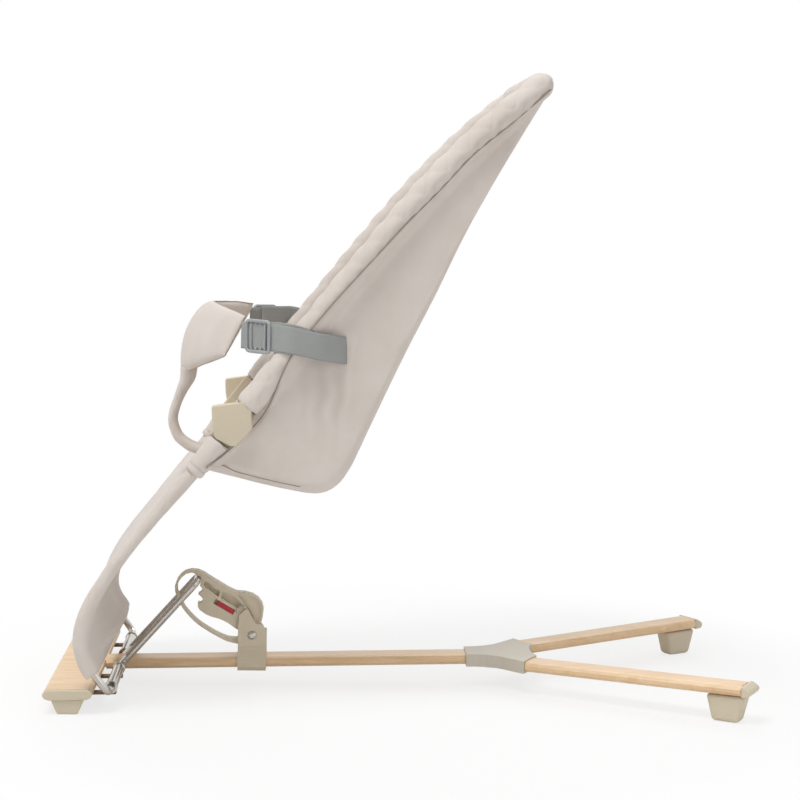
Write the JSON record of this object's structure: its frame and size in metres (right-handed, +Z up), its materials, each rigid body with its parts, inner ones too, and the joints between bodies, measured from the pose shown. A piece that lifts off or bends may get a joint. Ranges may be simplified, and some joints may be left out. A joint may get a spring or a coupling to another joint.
{
  "type": "baby bouncer",
  "caption": "Wooden Y-shaped floor base with a sprung steel frame, a reclining fabric bucket seat with a waist belt, and a notched latch lever.",
  "frame": {"origin": "middle of the footprint, on the floor", "axes": "+Z up, +X from the front board towards the rear legs, +Y across the seat"},
  "size_m": [0.7746, 0.3812, 0.6897],
  "materials": {
    "wood": "satin lacquer over straight grain",
    "beige": "fine satin",
    "grey_beige": "fine satin",
    "steel": "bright",
    "frame_grey": "satin",
    "brown": "satin",
    "red": "fine satin",
    "cloth": "woven, quilted on the rim",
    "webbing": "woven webbing",
    "clear_grey": "smooth"
  },
  "bodies": {
    "base": {"front_board": "wood", "stem_beam": "wood", "rear_leg_near": "wood", "rear_leg_far": "wood", "board_cap_near": "beige", "board_cap_far": "beige", "front_foot_near": "beige", "front_foot_far": "beige", "leg_cap_near": "beige", "leg_cap_far": "beige", "rear_foot_near": "beige", "rear_foot_far": "beige", "latch_bracket": "beige", "y_joint": "grey_beige", "joint_screw_cover": "grey_beige", "bearing_sleeve_near": "steel", "bearing_sleeve_far": "steel", "plate_screw_1": "steel", "plate_screw_2": "steel", "plate_screw_3": "steel", "plate_screw_4": "steel", "latch_axle": "steel", "axle_nut": "steel", "pivot_plate": "brown"},
    "lever": {"latch_lever": "beige"},
    "lock": {"lock_slide": "red"},
    "crank": {"recline_crank": "steel"},
    "seat": {"lower_rail_near": "steel", "lower_rail_far": "steel", "clamp_screw_near": "steel", "clamp_screw_far": "steel", "upper_frame": "frame_grey", "clamp_shield_near": "beige", "clamp_shield_far": "beige", "clamp_back_near": "beige", "clamp_back_far": "beige", "seat_shell": "cloth", "rim_padding": "cloth", "leg_sleeve_near": "cloth", "leg_sleeve_far": "cloth", "leg_panel": "cloth", "crotch_strap": "cloth", "crotch_pad": "cloth", "waist_strap_near": "webbing", "waist_strap_far": "webbing"},
    "adjuster_near": {"strap_adjuster_near": "clear_grey"},
    "adjuster_far": {"strap_adjuster_far": "clear_grey"}
  },
  "joints": [
    {"name": "seat_recline", "type": "hinge", "parent": "base", "child": "crank", "pos_m": [-0.317, 0, 0.02215], "axis": [0, 1, 0], "range_deg": [0, 7.4]},
    {"name": "seat_bounce", "type": "hinge", "parent": "crank", "child": "seat", "pos_m": [-0.317, 0, 0.02215], "axis": [0, 1, 0], "range_deg": [-3, 5], "stiffness_Nm_per_rad": 120, "springref_deg": -2.29},
    {"name": "latch_lift", "type": "hinge", "parent": "base", "child": "lever", "pos_m": [-0.1673, 0, 0.0562], "axis": [0, 1, 0], "range_deg": [0, 24]},
    {"name": "lock_slide_travel", "type": "slide", "parent": "lever", "child": "lock", "axis": [-0.8644, 0, 0.5029], "range_m": [0, 0.0027]},
    {"name": "adjuster_near_slide", "type": "slide", "parent": "seat", "child": "adjuster_near", "axis": [0.8031, -0.5949, -0.0333], "range_m": [0, 0.006]},
    {"name": "adjuster_far_slide", "type": "slide", "parent": "seat", "child": "adjuster_far", "axis": [0.8031, 0.5949, -0.0333], "range_m": [0, 0.006]}
  ],
  "couplings": [
    {"joint": "latch_lift", "follows": "seat_recline", "ratio": 3.2}
  ]
}
